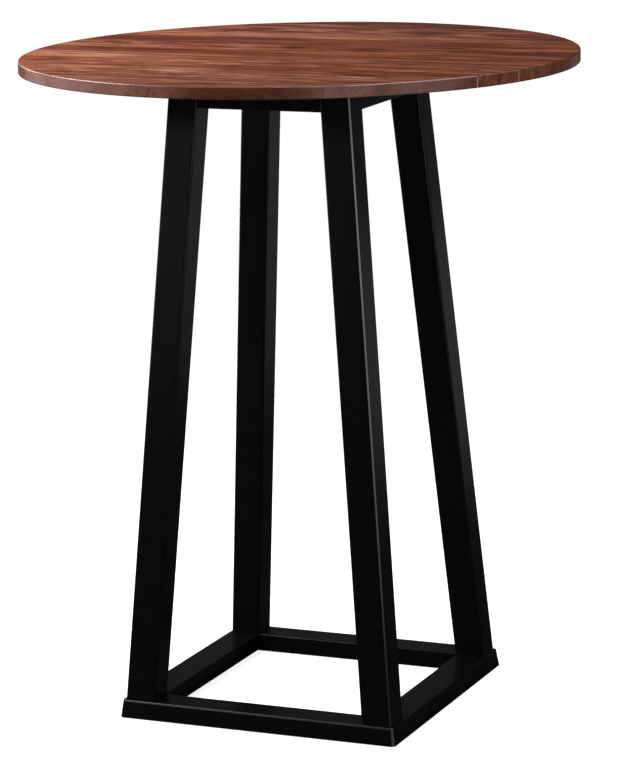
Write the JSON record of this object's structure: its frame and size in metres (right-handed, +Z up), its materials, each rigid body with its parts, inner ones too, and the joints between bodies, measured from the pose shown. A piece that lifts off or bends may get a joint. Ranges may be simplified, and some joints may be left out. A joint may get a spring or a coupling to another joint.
{
  "type": "pub table",
  "caption": "Bar-height table: a round edge-glued wooden top on black square-section legs that lean in from a flat mitred floor frame to an apron ring under the top.",
  "frame": {"origin": "on the floor, under the middle of the round top", "axes": "+Z up; X along the grain of the top; -Y is the front"},
  "size_m": [0.9, 0.9, 1.067],
  "materials": {
    "walnut": "satin clear lacquer",
    "black_lacquer": "satin black lacquer",
    "bare_beech": "bare wood",
    "zinc_steel": "zinc plated",
    "nylon": "moulded nylon"
  },
  "bodies": {
    "root": {"top_stave_01": "walnut", "top_stave_02": "walnut", "top_stave_03": "walnut", "top_stave_04": "walnut", "top_stave_05": "walnut", "top_stave_06": "walnut", "top_stave_07": "walnut", "top_stave_08": "walnut", "top_stave_09": "walnut", "top_stave_10": "walnut", "top_stave_11": "walnut", "top_stave_12": "walnut", "leg_front_left": "black_lacquer", "leg_front_right": "black_lacquer", "leg_back_left": "black_lacquer", "leg_back_right": "black_lacquer", "apron_front": "black_lacquer", "apron_back": "black_lacquer", "apron_left": "black_lacquer", "apron_right": "black_lacquer", "base_rail_front": "black_lacquer", "base_rail_back": "black_lacquer", "base_rail_left": "black_lacquer", "base_rail_right": "black_lacquer", "corner_block_front_left": "black_lacquer", "corner_block_front_right": "black_lacquer", "corner_block_back_left": "black_lacquer", "corner_block_back_right": "black_lacquer", "glide_front_left": "nylon", "glide_front_right": "nylon", "glide_back_left": "nylon", "glide_back_right": "nylon", "apron_dowels": "bare_beech", "mitre_dowels": "bare_beech", "hanger_bolts": "zinc_steel", "hanger_washers": "zinc_steel", "hanger_nuts": "zinc_steel", "block_screws": "zinc_steel", "top_screws": "zinc_steel", "top_screw_washers": "zinc_steel", "base_bolts": "zinc_steel", "base_bolt_washers": "zinc_steel", "leg_inserts": "zinc_steel", "glide_screws": "zinc_steel"}
  },
  "joints": []
}
